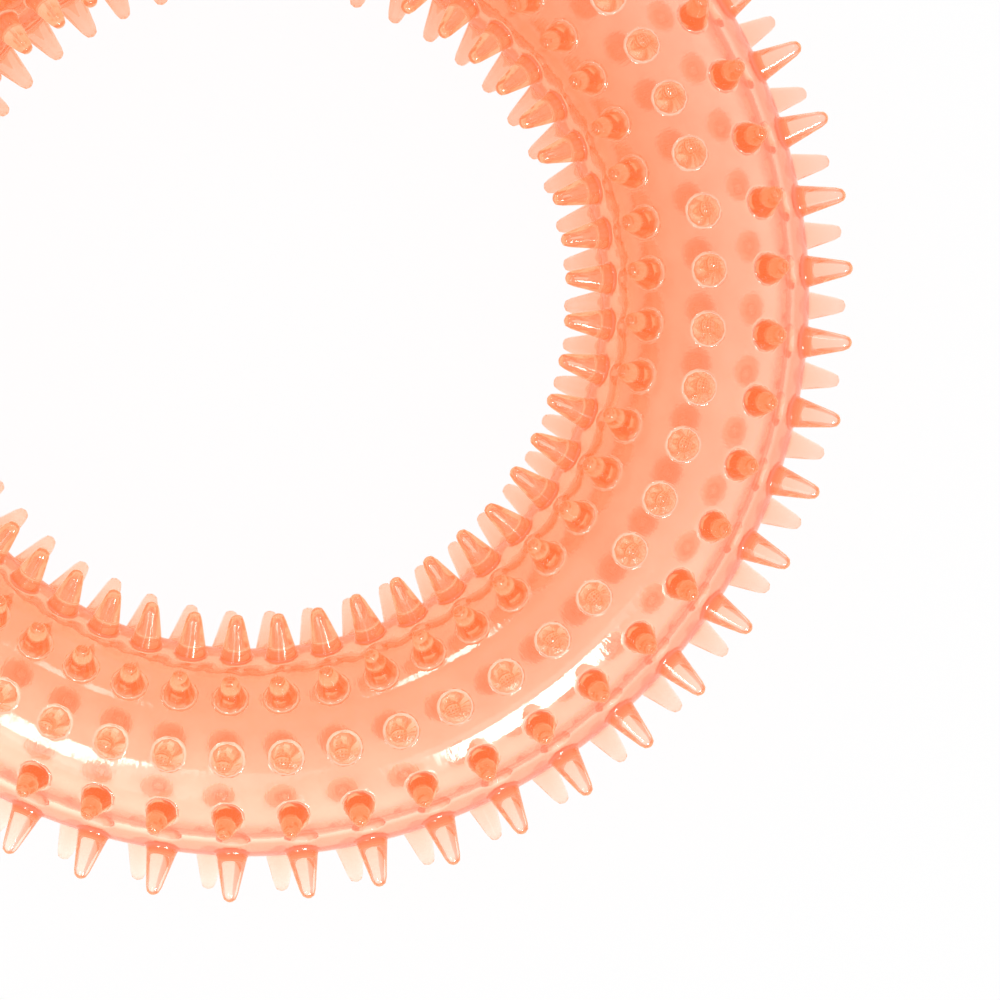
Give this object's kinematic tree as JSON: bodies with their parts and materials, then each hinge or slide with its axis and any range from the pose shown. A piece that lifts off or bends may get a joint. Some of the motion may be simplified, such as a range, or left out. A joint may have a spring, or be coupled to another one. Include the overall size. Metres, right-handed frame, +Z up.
{
  "type": "spiky chew ring",
  "caption": "Hollow ring-shaped dog chew toy of translucent orange rubber, two half shells joined at a middle seam, covered with rows of blunt tapered spikes.",
  "frame": {"origin": "on the ring's axis, level with the tips of the lowest spikes", "axes": "+Z up along the ring's axis, +X through a spike of each row of the upper half"},
  "size_m": [0.1602, 0.1602, 0.0407],
  "materials": {
    "shell_rubber": "translucent gloss",
    "seam_rubber": "translucent gloss"
  },
  "bodies": {
    "root": {"upper_shell": "shell_rubber", "lower_shell": "shell_rubber", "outer_seam_bead": "seam_rubber", "inner_seam_bead": "seam_rubber"}
  },
  "joints": []
}
